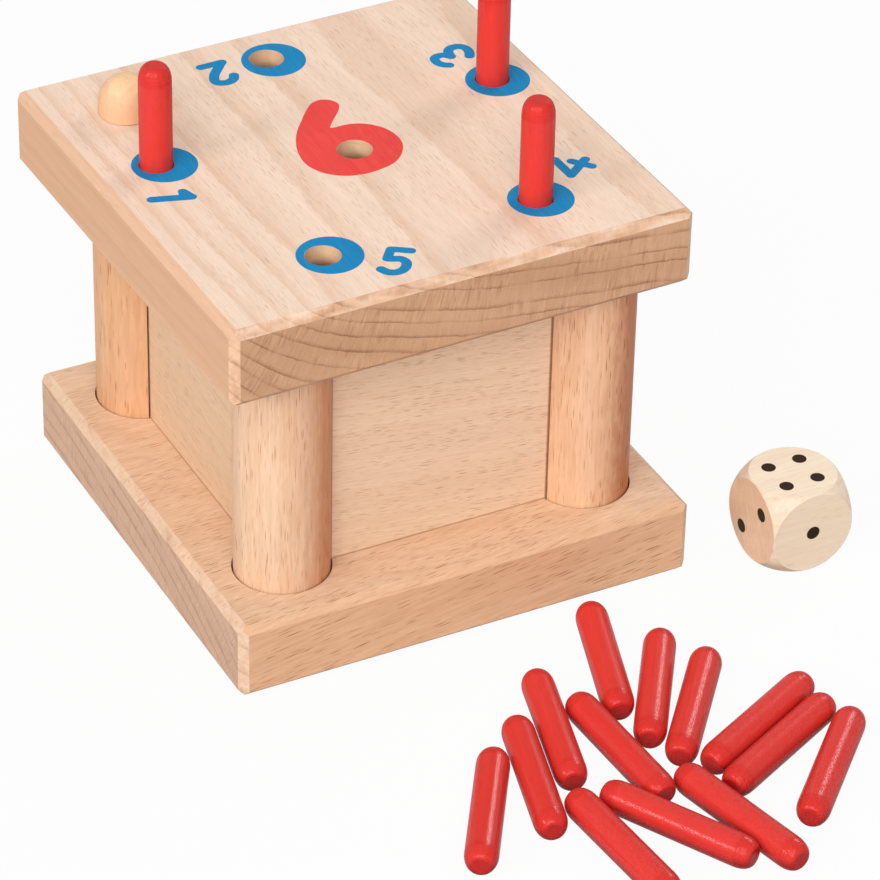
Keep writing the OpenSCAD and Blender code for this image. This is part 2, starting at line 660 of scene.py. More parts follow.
    def _long_grain(self, g: Graph, grain: Grain, fibre: Wire, dash: Wire) -> Wire:
        """Colours the long grain: soft bands, a flame figure, fibres and flecks.

        Args:
            g: The material's nodes.
            grain: The piece's grain.
            fibre: The fine fibres.
            dash: The short flecks.

        Returns:
            The colour.
        """
        veil = g.lumps((grain.along, grain.side, grain.depth), (110, 7, 3), 3.0, 0.55)
        across = grain.across / 26 + grain.jitter * 0.05
        swirl = g.noise(g.vector(grain.along / 170, across, grain.through / 26), 0.0)
        loops = (swirl * 9.0 + grain.ripple * 0.3 + grain.jitter * 0.35).math("FRACT")
        figure = loops.rise(0.25, 0.93) * loops.rise(1.0, 0.95)
        band = grain.year.rise(0.3, 0.72) * 0.3 + veil.rise(0.32, 0.7) * 0.4
        band = band * self.band + grain.line * (1 - grain.beside * 0.7) * self.lines
        colour = g.mix(self.pale.rgba(), self.deep.rgba(), band + figure * self.figure)
        light = (fibre - 0.5) * self.fibres
        warm = g.vector(1.0 + light * 0.3, 1.0 + light * 0.42, 1.0 + light * 0.54)
        colour = g.mix(colour, warm, 1.0, "MULTIPLY")
        share = dash * (1 - grain.beside * (1 - self.flank_flecks)) * self.flecks
        colour = g.mix(colour, self.fleck.rgba(), share)
        # The flanks' tint: partly their own tone, partly painted shade.
        return g.mix(colour, self.flank.rgba(), grain.beside, "MULTIPLY")

    def _ring_line(self, g: Graph, grain: Grain) -> Wire:
        """Draws the thin ring lines of the end grain, which fade here and there.

        Args:
            g: The material's nodes.
            grain: The piece's grain.

        Returns:
            1 on a line, 0 between them.
        """
        fade = g.noise(g.vector(grain.side / 11, grain.turn * 0.8, grain.along / 60), 1.0)
        return (grain.line ** (5 - 3.6 * self.blur)) * (0.25 + fade.rise(0.28, 0.62) * 0.75)

    def _end_grain(self, g: Graph, grain: Grain, rays: Wire, ring_line: Wire) -> Wire:
        """Colours the end grain: ring lines, the rays that cross them, and pores.

        Args:
            g: The material's nodes.
            grain: The piece's grain.
            rays: The fine rays.
            ring_line: The thin ring lines.

        Returns:
            The colour.
        """
        end = grain.side, grain.depth, grain.along
        cluster = g.lumps(end, (9, 7, 40), 1.0).rise(0.42, 0.62)
        apart = g.vector(grain.side / 0.5 + 7.3, grain.depth / 5, grain.along / 40)
        strong = g.noise(apart, 1.0).rise(0.54, 0.7)
        pores = g.lumps(end, (0.45, 0.5, 6), 2.0, 0.7)
        mark = ring_line * (0.62 * self.rings) + strong * (cluster * 0.28 + 0.06)
        mark = mark + grain.year.rise(0.35, 0.75) * 0.2
        shade = (rays - 0.5) * (0.3 + cluster * 0.4) + (pores - 0.5) * 0.34
        warm = g.vector(1.0 + shade * 0.8, 1.0 + shade, 1.0 + shade * 1.2)
        colour = g.mix(self.end_pale.rgba(), self.end_line.rgba(), mark)
        return g.mix(colour, warm, 1.0, "MULTIPLY")

    def _bevel(self, g: Graph, grain: Grain, rays: Wire, ring_line: Wire) -> Wire:
        """Colours the bevels between long grain and end grain.

        Args:
            g: The material's nodes.
            grain: The piece's grain.
            rays: The fine rays.
            ring_line: The thin ring lines.

        Returns:
            The colour.
        """
        blotch = g.lumps((grain.side, grain.depth, grain.along), (5, 3, 1.5), 2.0)
        mottle = blotch.rise(0.35, 0.7) * 0.3 + (rays - 0.5) * 0.5 + ring_line * 0.35
        return g.mix(self.bevel.rgba(), self.end_line.rgba(), mottle)

    def _join_faces(
        self, g: Graph, grain: Grain, long_grain: Wire, bevel: Wire, end_grain: Wire
    ) -> Wire:
        """Joins the colours by the way that the surface faces, with worn edges and painted shade.

        Args:
            g: The material's nodes.
            grain: The piece's grain.
            long_grain: The long grain's colour.
            bevel: The bevels' colour.
            end_grain: The end grain's colour.

        Returns:
            The colour.
        """
        facing, jitter = grain.facing, grain.jitter
        wave = g.lumps((grain.side, grain.through, grain.along), (11, 2.2, 2.2), 1.0) - 0.5
        worn = wave * facing.rise(0.3, 0.6) * facing.rise(1.0, 0.8)
        on_bevel = (facing + jitter * 0.3 + worn * 0.9).rise(*self.bevel_turn)
        on_end = (facing + jitter * 0.1 + worn * 0.8).rise(*self.end_turn)
        colour = g.mix(g.mix(long_grain, bevel, on_bevel), end_grain, on_end)
        # Painted shade: faces that look down are darkened.
        below = g.dot(grain.normal, UPWARD).rise(-0.3, -0.6)
        colour = g.mix(colour, self.underside, below * 0.7, "MULTIPLY")
        # Painted shade: one side of the piece is tinted darker.
        side_shade_share = (g.dot(grain.normal, self.heart_side) + jitter * 0.4).rise(0.1, 0.85)
        return g.mix(colour, self.heart.rgba(), side_shade_share, "MULTIPLY")

    def _print_over(self, g: Graph, colour: Wire, fibre: Wire, dash: Wire) -> Wire:
        """Covers the wood with ink that lets a little of the fibres through.

        Args:
            g: The material's nodes.
            colour: The wood's colour.
            fibre: The fine fibres.
            dash: The short flecks.

        Returns:
            The colour.
        """
        tone = 1.0 + (fibre - 0.5) * 0.3 - dash * 0.14
        cover = self.ink_cover - (fibre - 0.5).math("MAXIMUM", 0.0) * 0.06
        colour = g.mix(colour, self.ink.rgba(), cover)
        return g.mix(colour, g.vector(tone, tone, tone), 1.0, "MULTIPLY")


# Paint

@dataclass(frozen=True)
class GlossPaint:
    """Gloss paint on a turned peg, with the lathe's rings at its ends, faint fibres and painted
    shade.

    Attributes:
        name: The finish's name.
        middle: The peg's middle.
        heading: The direction of its length.
        length: Its length.
        lee: The way that the side with painted shade faces.
        lee_from: The turn towards that way where the painted shade starts.
        lee_blur: The further turn after which it is full.
        coat: The paint where it is thin.
        thick: The paint where it pooled.
        shaded: What the lee side is multiplied by, as painted shade.
        dome: The distances from the tips where an end starts, and is full.
        roughness: The paint's roughness.
        specular: The shader's specular level.
        coat_roughness: The roughness of the clear coat.
        relief_depth: The depth of the paint's relief.
    """

    name: str
    middle: Triple
    heading: Triple
    length: float
    lee: Triple
    lee_from: float
    lee_blur: float = 0.85
    coat: Tint = Tint(219, 57, 50)
    thick: Tint = Tint(200, 36, 32)
    shaded: Tint = Tint(176, 88, 86)
    dome: Span = (4.8, 3.6)
    roughness: float = 0.24
    specular: float = 0.02
    coat_roughness: float = 0.2
    relief_depth: float = 0.05

    def build(self) -> bpy.types.Material:
        """Builds the material.

        Returns:
            The material.
        """
        material = bpy.data.materials.new(self.name)
        material.use_nodes = True
        g = Graph(material.node_tree)
        here = g.place(self.middle)
        axis = Vector(self.heading)
        side = axis.orthogonal().normalized()
        ways = self.heading, tuple(side), tuple(axis.cross(side))
        peg = tuple(g.dot(here, way) for way in ways)
        along = peg[0]
        tip = abs(along).rise(*(self.length / 2 - start for start in self.dome))
        fibre = g.lumps(peg, (11, 0.5, 0.5), 1.5)
        pool = g.lumps(peg, (6, 3, 3), 1.0)
        colour = self._colour(g, tip, fibre, pool)
        lumps = g.lumps(peg, (2.4, 1.5, 1.5), 1.0)
        sand = g.lumps(peg, (0.3, 0.3, 0.3), 1.0)
        rings = g.math("SINE", along * 9.0)
        relief = lumps * (0.3 + tip * 2.4) + fibre * 0.3 + sand * 1.3 + rings * tip * 0.3
        speckle = g.lumps(peg, (0.45, 0.25, 0.25), 1.0).rise(0.35, 0.62)
        view = g.node("ShaderNodeLayerWeight", inputs={"Blend": 0.5}, output="Facing")
        grazing = view.rise(0.35, 0.9)
        shine = (0.08 + speckle * 0.52 + (pool - 0.5) * 0.2) * (1 - grazing * 0.85)
        shader = {
            "Base Color": colour, "Roughness": self.roughness,
            "Specular IOR Level": self.specular, "Coat Weight": shine * (1 - tip * 0.3),
            "Coat Roughness": self.coat_roughness,
        }
        g.surface(shader, relief, self.relief_depth)
        return material

    def _colour(self, g: Graph, tip: Wire, fibre: Wire, pool: Wire) -> Wire:
        """Colours the paint: deeper where it pooled, with painted shade on the peg's lee side.

        Args:
            g: The material's nodes.
            tip: 1 on the peg's ends.
            fibre: The wood's fibres under the paint.
            pool: Where the paint is thick.

        Returns:
            The colour.
        """
        thick = tip * 0.35 + (pool - 0.5) * 0.5 + (fibre - 0.5) * 0.5
        colour = g.mix(self.coat.rgba(), self.thick.rgba(), thick)
        normal = g.node("ShaderNodeTexCoord", output="Normal")
        # Painted shade on the lee side, by the way that the surface faces.
        turned = g.dot(normal, self.lee).rise(self.lee_from, self.lee_from + self.lee_blur)
        return g.mix(colour, self.shaded.rgba(), turned, "MULTIPLY")


# Flat shapes for the prints

KEEP_INSIDE = 1
SAME_POINT = 1e-5


def circle(middle: Point, radius: float, steps: int = 72) -> list[Point]:
    """Gives points round a circle.

    Args:
        middle: The circle's middle.
        radius: The radius.
        steps: The number of points.

    Returns:
        The points, counter-clockwise.
    """
    turns = [math.tau * i / steps for i in range(steps)]
    return [(middle[0] + radius * math.cos(t), middle[1] + radius * math.sin(t)) for t in turns]


def smooth(points: list[Point], steps: int = 6) -> list[Point]:
    """Runs a smooth curve through points, with its ends kept.

    Args:
        points: The points to pass.
        steps: The number of pieces between two points.

    Returns:
        The curve's points.
    """
    ends = [points[0], *points, points[-1]]
    curve = []
    for p, a, b, n in zip(ends, ends[1:], ends[2:], ends[3:]):
        for i in range(steps):
            t = i / steps
            curve.append(tuple(
                0.5 * (2 * a[k] + (b[k] - p[k]) * t
                       + (2 * p[k] - 5 * a[k] + 4 * b[k] - n[k]) * t * t
                       + (3 * a[k] - p[k] - 3 * b[k] + n[k]) * t ** 3)
                for k in (0, 1)
            ))
    return [*curve, points[-1]]


def inside(loop: list[Point], x: float, y: float) -> bool:
    """Tells whether a point lies in a loop.

    Args:
        loop: The loop's points.
        x: The point's first coordinate.
        y: The point's second coordinate.

    Returns:
        True if it does.
    """
    found = False
    for (ax, ay), (bx, by) in zip(loop, loop[1:] + loop[:1]):
        if (ay > y) != (by > y) and x < (bx - ax) * (y - ay) / (by - ay) + ax:
            found = not found
    return found


@dataclass(frozen=True)
class Stroke:
    """One stroke of a figure, drawn with a round tip.

    Attributes:
        points: The points that its middle line passes.
        tip: The radius of the tip.
    """

    points: list[Point]
    tip: float = 1.22

    def outline(self) -> list[Point]:
        """Gives the loop round the stroke.

        Returns:
            The loop's points.
        """
        line = smooth(self.points) if len(self.points) > 2 else list(self.points)
        left, right = [], []
        for i, (x, y) in enumerate(line):
            before, after = line[max(i - 1, 0)], line[min(i + 1, len(line) - 1)]
            turn = math.atan2(after[1] - before[1], after[0] - before[0]) + math.pi / 2
            dx, dy = self.tip * math.cos(turn), self.tip * math.sin(turn)
            left.append((x + dx, y + dy))
            right.append((x - dx, y - dy))
        far, near = self._cap(line[-1], line[-2]), self._cap(line[0], line[1])
        return [*left, *far, *reversed(right), *near]

    def _cap(self, end: Point, before: Point, steps: int = 14) -> list[Point]:
        """Gives the half circle round one end.

        Args:
            end: The stroke's end.
            before: The point before it.
            steps: The number of pieces.

        Returns:
            The points between the two sides, clockwise.
        """
        way = math.atan2(end[1] - before[1], end[0] - before[0])
        turns = [way + math.pi / 2 - math.pi * i / steps for i in range(1, steps)]
        return [(end[0] + self.tip * math.cos(t), end[1] + self.tip * math.sin(t)) for t in turns]


@dataclass(frozen=True)
class Film:
    """A thin printed shape: the places inside any of its loops and outside its holes.

    Attributes:
        name: The print's name.
        loops: The loops round what is printed; they may overlap.
        holes: The loops round what stays bare.
        thickness: The ink's thickness.
    """

    name: str
    loops: list[list[Point]]
    holes: list[list[Point]] = field(default_factory=list)
    thickness: float = 0.04

    def build(self, to_world: Matrix) -> bpy.types.Object:
        """Builds the shape as a closed thin mesh.

        Args:
            to_world: Takes the print's plane, in millimetres, to the world, in metres.

        Returns:
            The object.
        """
        corners, edges = [], []
        for loop in [*self.loops, *self.holes]:
            first = len(corners)
            corners += [Vector(point) for point in loop]
            edges += [(first + i, first + (i + 1) % len(loop)) for i in range(len(loop))]
        flat, _, triangles, *_ = delaunay_2d_cdt(corners, edges, [], KEEP_INSIDE, SAME_POINT)
        kept = [list(t) for t in triangles if self._printed(flat, t)]
        sides: dict[tuple[int, int], int] = {}
        for a, b, c in kept:
            for edge in ((a, b), (b, c), (c, a)):
                sides[edge] = sides.get(edge, 0) + 1
        rim = [edge for edge in sides if edge[::-1] not in sides]
        used = sorted({i for triangle in kept for i in triangle})
        new = {old: i for i, old in enumerate(used)}
        count = len(used)
        upper = [(flat[i].x, flat[i].y, self.thickness) for i in used]
        lower = [(flat[i].x, flat[i].y, 0.0) for i in used]
        faces = [[new[i] for i in t] for t in kept]
        faces += [[new[i] + count for i in reversed(t)] for t in kept]
        faces += [[new[b], new[a], new[a] + count, new[b] + count] for a, b in rim]
        mesh = bpy.data.meshes.new(self.name)
        mesh.from_pydata([to_world @ Vector(p) for p in upper + lower], [], faces)
        mesh.validate()
        made = bpy.data.objects.new(self.name, mesh)
        bpy.context.scene.collection.objects.link(made)
        return made

    def _printed(self, flat: list[Vector], triangle: list[int]) -> bool:
        """Tells whether a triangle is printed.

        Args:
            flat: The plane's points.
            triangle: The three points' numbers.

        Returns:
            True if its middle is in a loop and in no hole.
        """
        x = sum(flat[i].x for i in triangle) / 3
        y = sum(flat[i].y for i in triangle) / 3
        return any(inside(loop, x, y) for loop in self.loops) and not any(
            inside(hole, x, y) for hole in self.holes)


def finish_piece(
    piece: bpy.types.Object, material: bpy.types.Material, body: str
) -> bpy.types.Object:
    """Gives a new piece its finish, body and slot.

    Args:
        piece: The new object.
        material: Its finish.
        body: The body that it moves with.

    Returns:
        The same object.
    """
    piece.data.materials.append(material)
    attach(piece, body)
    return piece


def dress(name: str, material: bpy.types.Material, nodes: dict[str, bpy.types.Object]) -> None:
    """Gives a CAD node its finish.

    Args:
        name: The node's name.
        material: Its finish.
        nodes: The frame's nodes.
    """
    node = nodes[name]
    if not node.material_slots:
        node.data.materials.append(material)
    for slot in node.material_slots:
        slot.material = material
    LOG.info("%s dressed in %s", name, material.name)


# The box

PIVOT: Point = (-43.1, 39.9)


@dataclass
class Box:
    """The base, its four posts, the panels between them and the pivot peg.

    Attributes:
        nodes: The frame's nodes.
        side: The base's side.
        base_thickness: The base's thickness.
        post_middle: The distance from the box's middle to a post's, along X and along Y.
        panel_reach: The distance from the box's middle to a panel's grain origin, by its
            outer face.
        panel_shift: How much higher the grain's origin is on each next panel.
        pivot: The middle of the pivot peg.
    """

    nodes: dict[str, bpy.types.Object]
    side: float = 120.0
    base_thickness: float = 20.5
    post_middle: float = 40.2
    panel_reach: float = 43.3
    panel_shift: float = 9.0
    pivot: Point = PIVOT

    def build(self) -> None:
        """Dresses the base, the posts, the panels and the pivot peg."""
        self._dress_base()
        self._dress_posts()
        self._dress_panels()
        self._dress_pivot()

    def _dress_base(self) -> None:
        """Dresses the base in beech with fibres from left to right."""
        half = self.side / 2
        cut = Cut(
            (-half, -half, 0), (0.989, 0, 0.15), BACKWARD, (-0.15, 0, 0.989), ring=-4.6,
            fall=-0.12, bow=18.0, reach=30.0)
        finish = Timber(
            "base_beech", cut, pale=Tint(232, 196, 164), deep=Tint(222, 180, 145),
            fleck=Tint(166, 100, 56), end_pale=Tint(209, 169, 140), end_line=Tint(176, 130, 104),
            bevel=Tint(231, 199, 171), flank=Tint(248, 234, 221), band=0.75, blur=0.85,
            flecks=0.95, fleck_length=8.0, fleck_width=0.29, fleck_depth=1.6, fibres=1.4)
        dress("base", finish.build(), self.nodes)

    def _dress_posts(self) -> None:
        """Dresses each post in beech with upright fibres, each cut elsewhere from the log."""
        # Each post's side in X and Y, its turn and place in the log, its pale and deep tints, and
        # its painted shade.
        woods = {
            "front_left_post": (-1, -1, 0.0, (230, 192, 160), (223, 174, 136), (236, 207, 187)),
            "front_right_post": (1, -1, 137.0, (234, 191, 155), (227, 175, 134), (208, 160, 128)),
            "back_left_post": (-1, 1, 53.0, (224, 174, 134), (217, 158, 113), (236, 208, 187)),
            "back_right_post": (1, 1, 211.0, (234, 192, 154), (226, 172, 130), (236, 208, 187)),
        }
        for name, (x, y, shift, *tints) in woods.items():
            pale, deep, heart = (Tint(*tint) for tint in tints)
            turn = math.radians(shift)
            across = (math.cos(turn), math.sin(turn), 0)
            through = (-math.sin(turn), math.cos(turn), 0)
            middle = (x * self.post_middle, y * self.post_middle, -shift)
            cut = Cut(middle, UPWARD, across, through, ring=4.0, fall=0.3)
            finish = Timber(
                f"{name}_beech", cut, pale, deep, fleck=Tint(174, 104, 62),
                end_pale=Tint(214, 166, 136), end_line=Tint(176, 126, 98), bevel=pale,
                heart=heart, band=0.85, flecks=0.85, fleck_length=7.8, fleck_width=0.31,
                fleck_depth=0.9, fibres=1.4)
            dress(name, finish.build(), self.nodes)

    def _dress_panels(self) -> None:
        """Dresses each panel in beech with level fibres, and painted shade at its seams."""
        cream = Tint(238, 207, 176), Tint(226, 185, 150)
        buff = Tint(230, 195, 161), Tint(219, 175, 137)
        # The direction of each panel's width, seen from outside, and its two tints.
        ways = {
            "front_panel": (1, 0, *cream), "right_panel": (0, 1, *buff),
            "back_panel": (-1, 0, *cream), "left_panel": (0, -1, *buff),
        }
        for number, (name, (x, y, pale, deep)) in enumerate(ways.items()):
            out = (y, -x, 0)
            height = self.base_thickness + self.panel_shift * number
            origin = (out[0] * self.panel_reach, out[1] * self.panel_reach, height)
            along = (0.992 * x, 0.992 * y, -0.125)
            through = (0.125 * x, 0.125 * y, 0.992)
            cut = Cut(origin, along, out, through, ring=5.2, fall=1.6)
            finish = Timber(
                f"{name}_beech", cut, pale, deep, fleck=Tint(156, 94, 50),
                end_pale=Tint(214, 170, 140), end_line=Tint(176, 128, 100),
                bevel=Tint(236, 196, 164), band=0.45, flecks=0.9, fleck_length=5.2,
                fleck_width=0.3, fibres=0.9, seams=Seams((x, y, 0)))
            dress(name, finish.build(), self.nodes)

    def _dress_pivot(self) -> None:
        """Dresses the pivot peg in pale birch."""
        cut = Cut((*self.pivot, 0), UPWARD, (0.8, 0.6, 0), (-0.6, 0.8, 0), ring=3.0, fall=0.4)
        finish = Timber(
            "knob_birch", cut, pale=Tint(238, 187, 148), deep=Tint(240, 185, 140),
            fleck=Tint(212, 150, 102), end_pale=Tint(250, 204, 158), end_line=Tint(240, 190, 142),
            bevel=Tint(250, 204, 158), band=0.5, rings=0.3, blur=1.0, flecks=0.2,
            fleck_length=4.0, fleck_width=0.7, fibres=0.6)
        dress("pivot_peg", finish.build(), self.nodes)


# The lid and its prints

@dataclass
class Lid:
    """The lid with its printed discs and figures.

    Attributes:
        nodes: The frame's nodes.
        side: The lid's side.
        thickness: Its thickness.
        underside: The height of its underside.
        turn: How far it is turned on its peg, in degrees.
        pivot: The pivot's place in the world.
        pivot_in_lid: The same place in the lid's own axes.
        hole_ring: The radius of the ring of holes.
        hole_middle: That ring's middle, where the last hole is.
        hole_radius: The radius of a hole.
        hole_gap: The bare rim between a hole and the ink.
        first_hole: The direction of hole 1 from the middle, in degrees.
        holes: The number of holes on the ring.
        disc_ring: The radius of the ring of printed discs.
        disc_middle: That ring's middle, a little beside the holes'.
        disc_radius: The radius of a disc.
    """

    nodes: dict[str, bpy.types.Object]
    side: float = 120.0
    thickness: float = 20.5
    underside: float = 82.1
    turn: float = 1.0
    pivot: Point = PIVOT
    pivot_in_lid: Point = (-40.1, 38.5)
    hole_ring: float = 47.2
    hole_middle: Point = (0.8, -1.1)
    hole_radius: float = 4.3
    hole_gap: float = 0.02
    first_hole: float = 162.0
    holes: int = 5
    disc_ring: float = 46.8
    disc_middle: Point = (2.1, -2.0)
    disc_radius: float = 7.9

    def build(self) -> None:
        """Dresses the lid and adds its prints."""
        dress("lid", self._beech("lid_beech").build(), self.nodes)
        blue = self._beech("blue_ink", Tint(0, 134, 190), 0.99).build()
        red = self._beech("red_ink", Tint(240, 72, 68), 0.985).build()
        for number in range(1, self.holes + 1):
            self._add(self._disc(number), blue)
        for name, (middle, heading, strokes) in self._figures().items():
            loops = [self._placed(stroke.outline(), middle, heading) for stroke in strokes]
            self._add(Film(name, loops), blue)
        self._add(self._six(), red)

    def own_axes(self) -> Matrix:
        """Places the lid's own axes in the world.

        Returns:
            The matrix from the lid's axes, in millimetres, to the world, in metres.
        """
        steps = [
            Matrix.Scale(MM, 4),
            Matrix.Translation((*self.pivot, self.underside)),
            Matrix.Rotation(math.radians(self.turn), 4, "Z"),
            Matrix.Translation((-self.pivot_in_lid[0], -self.pivot_in_lid[1], 0)),
        ]
        result = Matrix.Identity(4)
        for step in steps:
            result = result @ step
        return result

    def _beech(self, name: str, ink: Tint | None = None, cover: float = 0.9) -> Timber:
        """Gives the lid's beech, bare or under ink.

        Args:
            name: The finish's name.
            ink: The ink's colour, or nothing for bare wood.
            cover: How much of the wood the ink hides.

        Returns:
            The finish.
        """
        to_world = self.own_axes()
        turn = to_world.to_3x3().normalized()
        corner = tuple(to_world @ Vector((-self.side / 2, 0, 0)) / MM)
        along, across = (tuple(turn @ Vector(way)) for way in (BACKWARD, RIGHTWARD))
        cut = Cut(corner, along, across, UPWARD, ring=-4.3, bow=-21.0)
        return Timber(
            name, cut, pale=Tint(249, 222, 200), deep=Tint(232, 194, 166),
            fleck=Tint(186, 130, 92), end_pale=Tint(207, 161, 125), end_line=Tint(146, 97, 64),
            bevel=Tint(228, 184, 151), flank=Tint(226, 200, 176), flank_flecks=0.15, band=0.45,
            lines=0.5, figure=0.12, flecks=0.6, fleck_length=5.6, fleck_width=0.3, fibres=0.75,
            specular=0.08 if ink else 0.3, bored=Bores(Tint(234, 198, 161)), ink=ink,
            ink_cover=cover)

    def _spot(self, middle: Point, radius: float, number: int) -> Point:
        """Gives a place on a ring of five.

        Args:
            middle: The ring's middle.
            radius: The ring's radius.
            number: The hole's number, from 1 to 5.

        Returns:
            The place in the lid's axes.
        """
        turn = math.radians(self.first_hole - 360 / self.holes * (number - 1))
        return (middle[0] + radius * math.cos(turn), middle[1] + radius * math.sin(turn))

    def _disc(self, number: int) -> Film:
        """Gives the disc that is printed round a hole, a little beside it.

        Args:
            number: The hole's number.

        Returns:
            The print.
        """
        outer = circle(self._spot(self.disc_middle, self.disc_ring, number), self.disc_radius)
        middle = self._spot(self.hole_middle, self.hole_ring, number)
        hole = circle(middle, self.hole_radius + self.hole_gap)
        return Film(f"disc_{number}", [outer], [hole])

    @staticmethod
    def _placed(loop: list[Point], middle: Point, heading: float) -> list[Point]:
        """Turns and shifts a loop to its place on the lid.

        Args:
            loop: The loop round the figure's own middle, upright.
            middle: The figure's middle on the lid.
            heading: The direction of the figure's top, in degrees.

        Returns:
            The loop in the lid's axes.
        """
        turn = math.radians(heading - 90)
        c, s = math.cos(turn), math.sin(turn)
        return [(middle[0] + c * x - s * y, middle[1] + s * x + c * y) for x, y in loop]

    @staticmethod
    def _figures() -> dict[str, tuple[Point, float, list[Stroke]]]:
        """Draws the five small figures.

        Returns:
            Each figure's middle, the heading of its top in degrees, and its strokes.
        """
        return {
            "figure_1": ((-47.2, -1.7), -18.0, [
                Stroke([(0.1, 4.6), (0.1, -4.7)], 1.25),
                Stroke([(-2.5, 2.85), (0.1, 4.6)], 1.15),
                Stroke([(-2.3, 2.85), (0.0, 3.0)], 1.15),
            ]),
            "figure_2": ((-12.4, 44.8), -90.0, [
                Stroke([(-2.6, 2.4), (-1.75, 3.95), (0.2, 4.75), (2.2, 4.1), (2.65, 2.6),
                        (1.55, 0.2), (-0.5, -2.2), (-2.4, -4.3)], 1.25),
                Stroke([(-2.7, -4.5), (3.0, -4.5)], 1.2),
            ]),
            "figure_3": ((42.5, 27.0), -162.0, [
                Stroke([(-2.2, 4.0), (-0.9, 5.0), (0.8, 5.2), (2.5, 4.4), (2.85, 3.0),
                        (2.2, 1.6), (0.5, 0.75)], 1.2),
                Stroke([(0.5, 0.7), (2.6, -0.5), (3.3, -2.3), (2.5, -4.2), (0.6, -4.75),
                        (-1.2, -4.0), (-2.5, -2.75)], 1.25),
            ]),
            "figure_4": ((44.5, -30.2), 126.0, [
                Stroke([(-0.4, 5.4), (-4.9, -0.9)], 1.15),
                Stroke([(-5.0, -0.95), (3.15, -0.9)], 1.15),
                Stroke([(0.75, 1.6), (1.0, -3.6)], 1.15),
            ]),
            "figure_5": ((-12.9, -48.5), 54.0, [
                Stroke([(-1.7, 4.5), (2.8, 4.6)], 1.15),
                Stroke([(-1.9, 4.4), (-2.1, 0.4)], 1.15),
                Stroke([(-2.0, 0.35), (-0.5, 0.6), (1.0, 0.75), (2.3, -0.2), (2.65, -1.8),
                        (2.2, -3.6), (0.9, -4.9), (-0.9, -5.25), (-2.8, -4.3)], 1.22),
            ]),
        }

    def _six(self) -> Film:
        """Gives the large 6, whose eye is the middle hole.

        Returns:
            The print.
        """
        edge = [
            (-0.1, 10.2), (1.3, 12.0), (3.15, 14.0), (5.0, 16.0), (6.3, 17.8), (6.8, 19.4),
            (6.3, 21.0), (5.2, 22.2), (3.6, 22.85), (1.8, 22.6), (0.2, 21.6), (-1.6, 19.8),
            (-3.15, 18.0), (-4.75, 16.0), (-6.45, 14.0), (-7.9, 12.0), (-9.4, 9.6), (-10.7, 6.9),
            (-11.7, 4.2), (-12.3, 1.6), (-12.6, -1.0), (-12.3, -3.6), (-11.3, -6.2), (-9.9, -8.2),
            (-8.0, -9.9), (-5.9, -11.1), (-3.5, -11.75), (-1.2, -12.05), (1.1, -11.9),
            (3.4, -11.55), (5.7, -10.9), (7.8, -9.7), (9.6, -8.0), (11.1, -5.95), (12.2, -3.6),
            (12.6, -1.0), (12.4, 1.6), (11.65, 4.2), (10.2, 6.4), (8.3, 8.2), (6.0, 9.4),
            (3.5, 9.9), (1.1, 9.85), (-0.1, 10.2),
        ]
        hole = circle(self.hole_middle, self.hole_radius + self.hole_gap)
        return Film("figure_6", [smooth(edge, 4)[:-1]], [hole])

    def _add(self, film: Film, material: bpy.types.Material) -> None:
        """Builds a print on the lid's top.

        Args:
            film: The print.
            material: Its ink.
        """
        place = self.own_axes() @ Matrix.Translation((0, 0, self.thickness))
        finish_piece(film.build(place), material, "lid")
        LOG.info("%s printed on the lid", film.name)


# Pegs and die

@dataclass
class Pegs:
    """All the red pegs, each with paint that follows its own length.

    Attributes:
        nodes: The frame's nodes.
        length: The length of a peg.
    """

    nodes: dict[str, bpy.types.Object]
    length: float = 40.0

    def build(self) -> None:
        """Dresses every peg."""
        for name in sorted(n for n in self.nodes if "peg_" in n):
            low, high = (Vector(corner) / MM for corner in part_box(name))
            dress(name, self._paint(name, low, high).build(), self.nodes)

    def _paint(self, name: str, low: Vector, high: Vector) -> GlossPaint:
        """Gives the paint of one peg.

        Args:
            name: The peg's name.
            low: The lowest corner of its box.
            high: The highest corner of its box.

        Returns:
            The finish.
        """
        middle, size = (low + high) / 2, high - low
        # A standing peg gets painted shade on its right side, a lying one on its underside.
        if size.z > self.length / 2:
            heading, lee, lee_from = UPWARD, (0.95, 0.3, 0.0), 0.2
        else:
            heading, lee, lee_from = self._level_heading(name, middle), (0.1, 0.0, -1.0), -0.5
        return GlossPaint(f"{name}_paint", tuple(middle), heading, self.length, lee, lee_from)

    def _level_heading(self, name: str, middle: Vector) -> Triple:
        """Finds which way a lying peg points.

        Args:
            name: The peg's name.
            middle: Its middle.

        Returns:
            The direction of its length.
        """
        corners = [v.co / MM - middle for v in self.nodes[name].data.vertices]
        tip = max(corners, key=lambda c: c.x * c.x + c.y * c.y)
        return tuple(Vector((tip.x, tip.y, 0.0)).normalized())


class Face(Enum):
    """A face of the die: the way that it looks, its rightward direction and its pips."""

    TOP = ((0, 0, 1), (1, 0, 0), ((-1, -1), (-1, 1), (1, -1), (1, 1)))
    BOTTOM = ((0, 0, -1), (1, 0, 0), ((-1, -1), (0, 0), (1, 1)))
    LEFT = ((-1, 0, 0), (0, -1, 0), ((-1, -1), (1, 1)))
    RIGHT = ((1, 0, 0), (0, 1, 0), ((-1, -1), (-1, 1), (0, 0), (1, -1), (1, 1)))
    FRONT = ((0, -1, 0), (1, 0, 0), ((0, 0),))
    BACK = ((0, 1, 0), (-1, 0, 0), ((-1, -1), (-1, 0), (-1, 1), (1, -1), (1, 0), (1, 1)))


